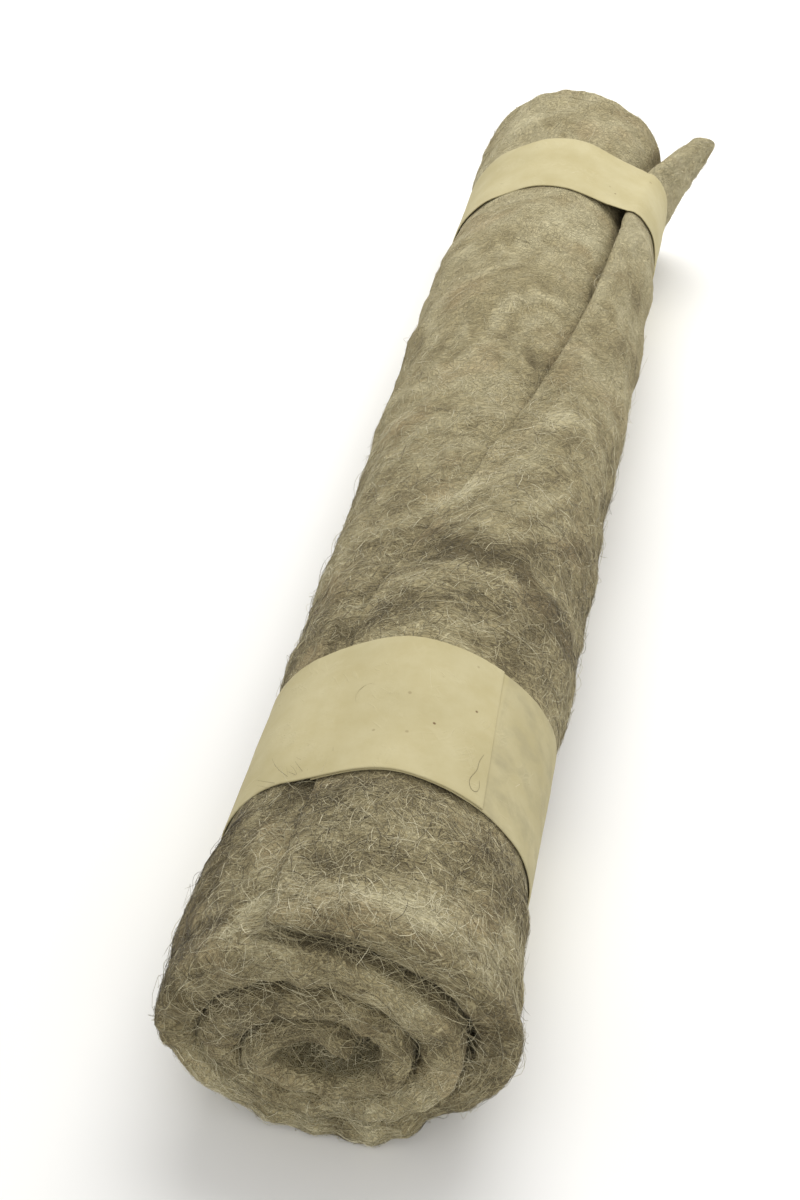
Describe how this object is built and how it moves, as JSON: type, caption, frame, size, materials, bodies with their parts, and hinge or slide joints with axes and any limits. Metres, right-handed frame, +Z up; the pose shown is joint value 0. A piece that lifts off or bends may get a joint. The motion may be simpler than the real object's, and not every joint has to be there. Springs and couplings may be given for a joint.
{
  "type": "rolled wool felt sheet",
  "caption": "Thick hand-made wool felt sheet, rolled up and held by plain paper bands, with its free corner standing off.",
  "frame": {"origin": "middle of the small flat spot under the roll, below the middle of its length", "axes": "+Y along the roll, away from the open spiral end; +Z up from the flat spot; +X to the right seen from the open end"},
  "size_m": [0.0578, 0.3029, 0.0415],
  "materials": {
    "felt": "mottled grey-beige wool, matte and hairy",
    "paper": "cream hand-made paper, matte, with small specks"
  },
  "bodies": {
    "root": {"felt_sheet": "felt", "paper_band_near": "paper", "paper_band_far": "paper"}
  },
  "joints": []
}
